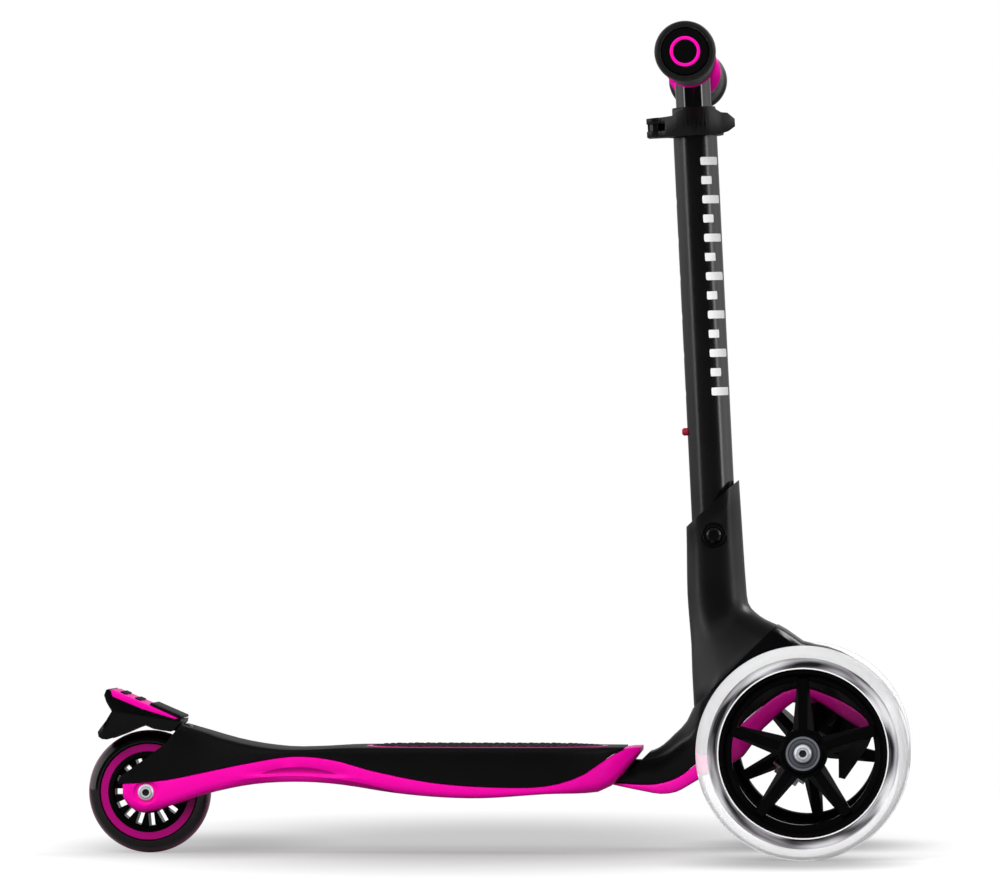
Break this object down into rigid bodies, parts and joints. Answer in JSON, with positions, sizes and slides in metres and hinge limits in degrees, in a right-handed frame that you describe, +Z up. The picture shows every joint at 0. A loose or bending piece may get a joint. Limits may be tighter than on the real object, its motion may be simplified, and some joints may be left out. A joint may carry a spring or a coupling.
{
  "type": "kick scooter",
  "caption": "Child's kick scooter with two large front wheels, a small rear wheel under a step brake, a curved deck, lean steering and a telescopic T handlebar.",
  "frame": {"origin": "centre of the overall box at floor level, on the mid-plane between the front wheels", "axes": "+X forward to the front wheels, +Y to the rider's left, +Z up"},
  "size_m": [0.5362, 0.29, 0.532],
  "materials": {
    "black_plastic": "fine matte texture",
    "magenta_plastic": "satin",
    "black_rubber": "matte",
    "black_metal": "satin powder coat",
    "steel": "satin",
    "zinc": "zinc plated",
    "clear_tyre": "clear polyurethane, polished",
    "dark_tyre": "dark translucent polyurethane",
    "elastomer": "satin",
    "red_plastic": "gloss"
  },
  "bodies": {
    "deck": {"deck_shell": "black_plastic", "deck_tray": "magenta_plastic", "deck_pad": "black_rubber", "deck_inlay": "magenta_plastic", "tray_screws": "zinc", "neck": "black_plastic", "neck_trim": "magenta_plastic", "neck_bolts": "zinc", "crown_screws": "zinc", "column_base": "black_plastic", "column_bolt": "black_metal", "column_nut": "black_metal", "lower_tube": "black_metal", "tube_bush": "black_plastic", "clamp_collar": "black_metal", "clamp_bolt": "zinc", "clamp_nut": "zinc", "rear_axle": "steel", "rear_axle_screw": "steel", "rear_washers": "zinc", "kingpin": "steel", "steering_bushes": "elastomer", "centering_springs": "elastomer", "brake_pin": "steel", "brake_spring": "steel"},
    "brake": {"brake_arm": "black_plastic", "brake_cover": "magenta_plastic", "brake_cap": "black_plastic", "brake_studs": "black_rubber"},
    "rear_wheel": {"rear_tyre": "dark_tyre", "rear_ring": "magenta_plastic", "rear_core": "black_plastic", "rear_bearings": "steel", "rear_spacer": "zinc"},
    "front_truck": {"truck_beam": "black_metal", "front_axle_bolts": "steel", "front_washers": "zinc"},
    "front_wheel_right": {"front_tyre_right": "clear_tyre", "front_core_right": "black_plastic", "front_bearings_right": "steel", "front_spacer_right": "zinc"},
    "front_wheel_left": {"front_tyre_left": "clear_tyre", "front_core_left": "black_plastic", "front_bearings_left": "steel", "front_spacer_left": "zinc"},
    "handlebar": {"upper_tube": "black_metal", "crossbar": "black_metal", "grip_right": "black_rubber", "grip_left": "black_rubber", "grip_collar_right": "magenta_plastic", "grip_collar_left": "magenta_plastic", "grip_cap_right": "black_plastic", "grip_cap_left": "black_plastic", "snap_spring": "steel"},
    "height_button": {"snap_button": "red_plastic"},
    "lever": {"clamp_lever": "black_plastic", "lever_pin": "zinc"}
  },
  "joints": [
    {"name": "rear_wheel_spin", "type": "hinge", "parent": "deck", "child": "rear_wheel", "pos_m": [-0.22812, 0, 0.04], "axis": [0, 1, 0], "continuous": true},
    {"name": "brake_press", "type": "hinge", "parent": "deck", "child": "brake", "pos_m": [-0.20413, 0, 0.0795], "axis": [0, -1, 0], "range_deg": [0, 1.5], "stiffness_Nm_per_rad": 12, "springref_deg": -2.86, "deforming": ["brake_spring"]},
    {"name": "lean_steer", "type": "hinge", "parent": "deck", "child": "front_truck", "pos_m": [0.19987, 0, 0.06825], "axis": [0.5736, 0, 0.8192], "range_deg": [-15, 15], "stiffness_Nm_per_rad": 25, "deforming": ["centering_springs"]},
    {"name": "front_wheel_right_spin", "type": "hinge", "parent": "front_truck", "child": "front_wheel_right", "pos_m": [0.19987, -0.113, 0.06825], "axis": [0, 1, 0], "continuous": true},
    {"name": "front_wheel_left_spin", "type": "hinge", "parent": "front_truck", "child": "front_wheel_left", "pos_m": [0.19987, 0.113, 0.06825], "axis": [0, 1, 0], "continuous": true},
    {"name": "height_slide", "type": "slide", "parent": "deck", "child": "handlebar", "axis": [-0.048, 0, 0.9988], "range_m": [0, 0.15]},
    {"name": "height_button_press", "type": "slide", "parent": "handlebar", "child": "height_button", "axis": [0.9988, 0, 0.048], "range_m": [0, 0.0055], "stiffness_N_per_m": 600, "springref_m": -0.003, "deforming": ["snap_spring"]},
    {"name": "clamp_lever_open", "type": "hinge", "parent": "deck", "child": "lever", "pos_m": [0.10248, -0.01055, 0.47194], "axis": [0.048, 0, -0.9988], "range_deg": [0, 120]}
  ]
}
